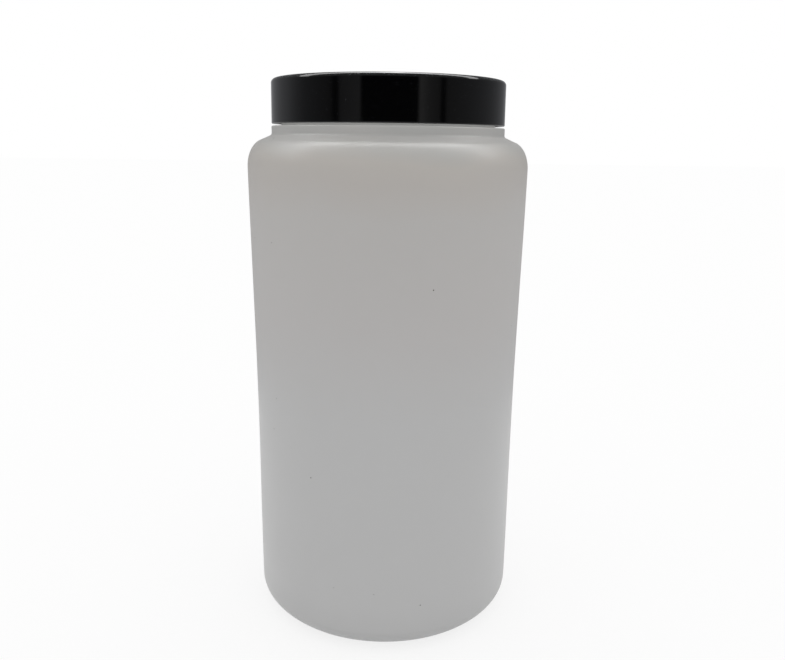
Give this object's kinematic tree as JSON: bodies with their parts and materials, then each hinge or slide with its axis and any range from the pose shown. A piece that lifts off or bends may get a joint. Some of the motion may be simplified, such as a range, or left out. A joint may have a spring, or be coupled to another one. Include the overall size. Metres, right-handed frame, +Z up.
{
  "type": "reagent bottle",
  "caption": "Wide-mouth blown plastic reagent bottle with a waisted body, flush collar and black screw cap holding a sealing wad.",
  "frame": {"origin": "on the bottle's axis, in the plane that its standing ring rests on", "axes": "+Z up along the bottle's axis, towards the cap; +X and -X point at the two sides where the blow mould parts; -Y is the front"},
  "size_m": [0.12, 0.12, 0.2381],
  "materials": {
    "polyethylene": "satin, milky translucent",
    "cap_plastic": "gloss black",
    "wad_foam": "matt closed-cell foam"
  },
  "bodies": {
    "bottle": {"bottle": "polyethylene"},
    "wad": {"wad": "wad_foam"},
    "cap": {"cap": "cap_plastic"}
  },
  "joints": [
    {"name": "cap_rise", "type": "slide", "parent": "bottle", "child": "wad", "axis": [0, 0, 1], "range_m": [0, 0.03]},
    {"name": "cap_turn", "type": "hinge", "parent": "wad", "child": "cap", "pos_m": [0, 0, 0.2359], "axis": [0, 0, 1], "range_deg": [0, 2160]}
  ],
  "couplings": [
    {"joint": "cap_rise", "follows": "cap_turn", "m_per_rad": 0.00079577}
  ]
}
